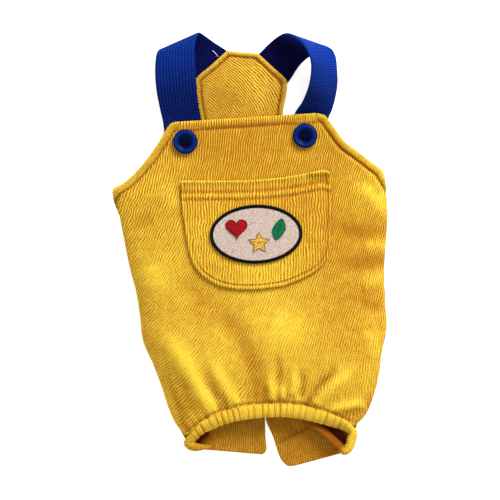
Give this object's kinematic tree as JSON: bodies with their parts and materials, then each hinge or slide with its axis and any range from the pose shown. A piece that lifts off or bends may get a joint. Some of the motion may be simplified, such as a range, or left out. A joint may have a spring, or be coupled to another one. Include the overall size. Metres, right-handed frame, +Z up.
{
  "type": "dog suspender pants",
  "caption": "Knitted overalls for a small dog, laid flat: bib with pocket and oval badge, buttoned webbing straps, back tab, gathered elastic hem.",
  "frame": {"origin": "on the floor under the middle of the garment as it lies flat, at the centre of its box", "axes": "+Y along the garment from hem to bib and straps, +Z up out of the bib and pocket, +X to the right as seen from above"},
  "size_m": [0.1684, 0.2654, 0.0282],
  "materials": {
    "knit_yellow": "brushed jersey knit",
    "knit_yellow_back": "brushed jersey knit",
    "webbing_blue": "woven webbing",
    "button_blue": "glossy",
    "thread_blue": "sewing thread",
    "badge_ground": "twill",
    "badge_border": "overcast thread",
    "thread_red": "satin stitch",
    "thread_yellow": "satin stitch",
    "thread_green": "satin stitch"
  },
  "bodies": {
    "root": {"back_panel": "knit_yellow_back", "front_panel": "knit_yellow", "elastic_hem": "knit_yellow", "pocket": "knit_yellow", "badge": "badge_ground", "badge_border": "badge_border", "badge_heart": "thread_red", "badge_star": "thread_yellow", "badge_leaf": "thread_green", "strap_left": "webbing_blue", "strap_right": "webbing_blue", "button_left": "button_blue", "button_right": "button_blue", "button_thread_left": "thread_blue", "button_thread_right": "thread_blue"}
  },
  "joints": []
}
